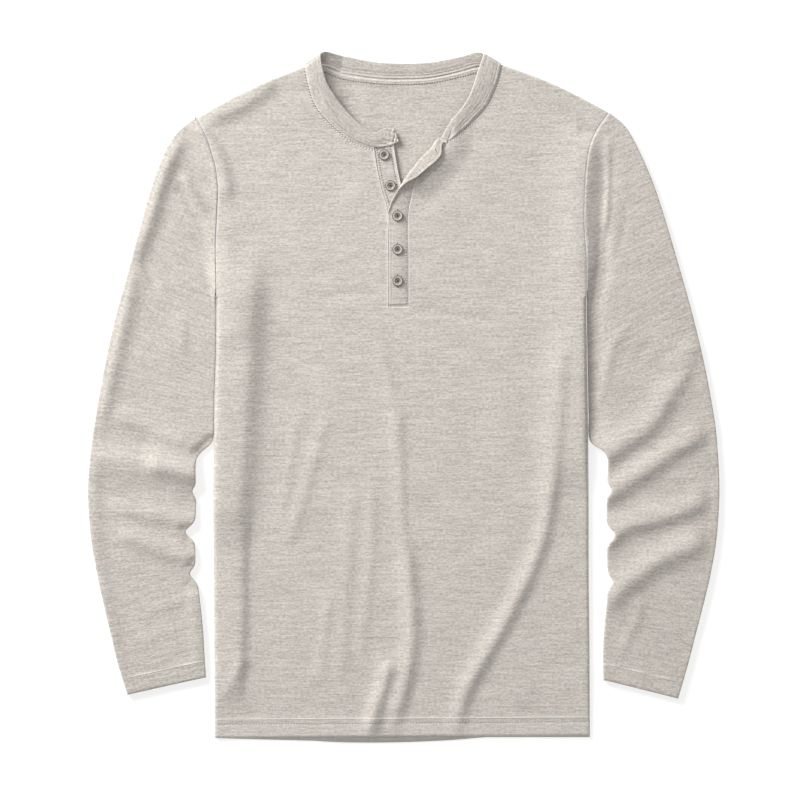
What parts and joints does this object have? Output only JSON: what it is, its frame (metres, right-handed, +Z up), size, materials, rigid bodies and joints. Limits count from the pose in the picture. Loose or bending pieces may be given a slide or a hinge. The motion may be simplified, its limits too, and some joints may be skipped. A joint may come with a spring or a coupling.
{
  "type": "henley shirt",
  "caption": "Long-sleeved jersey henley shirt laid flat, its round neck open and the top of its buttoned placket turned back.",
  "frame": {"origin": "middle of the laid-out shirt's outline, on the surface it lies on", "axes": "+X across the chest towards the wearer's left, +Y from hem to neck, +Z up off the surface, out of the front"},
  "size_m": [0.6949, 0.7611, 0.0156],
  "materials": {
    "jersey": "heathered slub jersey, matt",
    "button": "satin"
  },
  "bodies": {
    "root": {"front": "jersey", "back": "jersey", "sleeve_right": "jersey", "sleeve_left": "jersey", "neckband": "jersey", "placket_under": "jersey", "placket_over": "jersey", "button_1": "button", "button_2": "button", "button_3": "button", "button_4": "button", "button_5": "button"}
  },
  "joints": []
}
